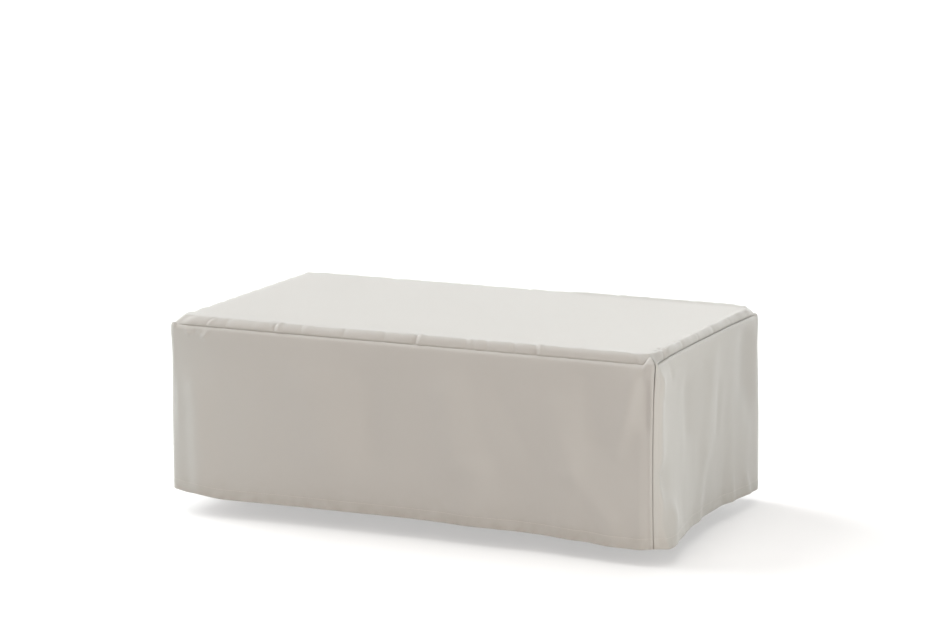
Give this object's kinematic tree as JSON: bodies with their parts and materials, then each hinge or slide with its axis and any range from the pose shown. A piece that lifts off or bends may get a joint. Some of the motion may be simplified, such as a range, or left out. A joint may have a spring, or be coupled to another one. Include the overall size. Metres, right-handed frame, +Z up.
{
  "type": "coffee table cover",
  "caption": "Fitted cloth cover for a low rectangular coffee table: flat top with a rolled edge, lapped top seam and a straight hemmed skirt with soft folds.",
  "frame": {"origin": "middle of the flat underside of the top panel, where the cover rests on what it covers", "axes": "+X along the long side, to the right seen from the front; +Y towards the back; +Z up, out of the flat top"},
  "size_m": [1.1707, 0.6723, 0.407],
  "materials": {
    "cover_cloth": "matt off-white coated polyester with a fine plain weave"
  },
  "bodies": {
    "root": {"top_panel": "cover_cloth", "front_panel": "cover_cloth", "right_panel": "cover_cloth", "back_panel": "cover_cloth", "left_panel": "cover_cloth"}
  },
  "joints": []
}
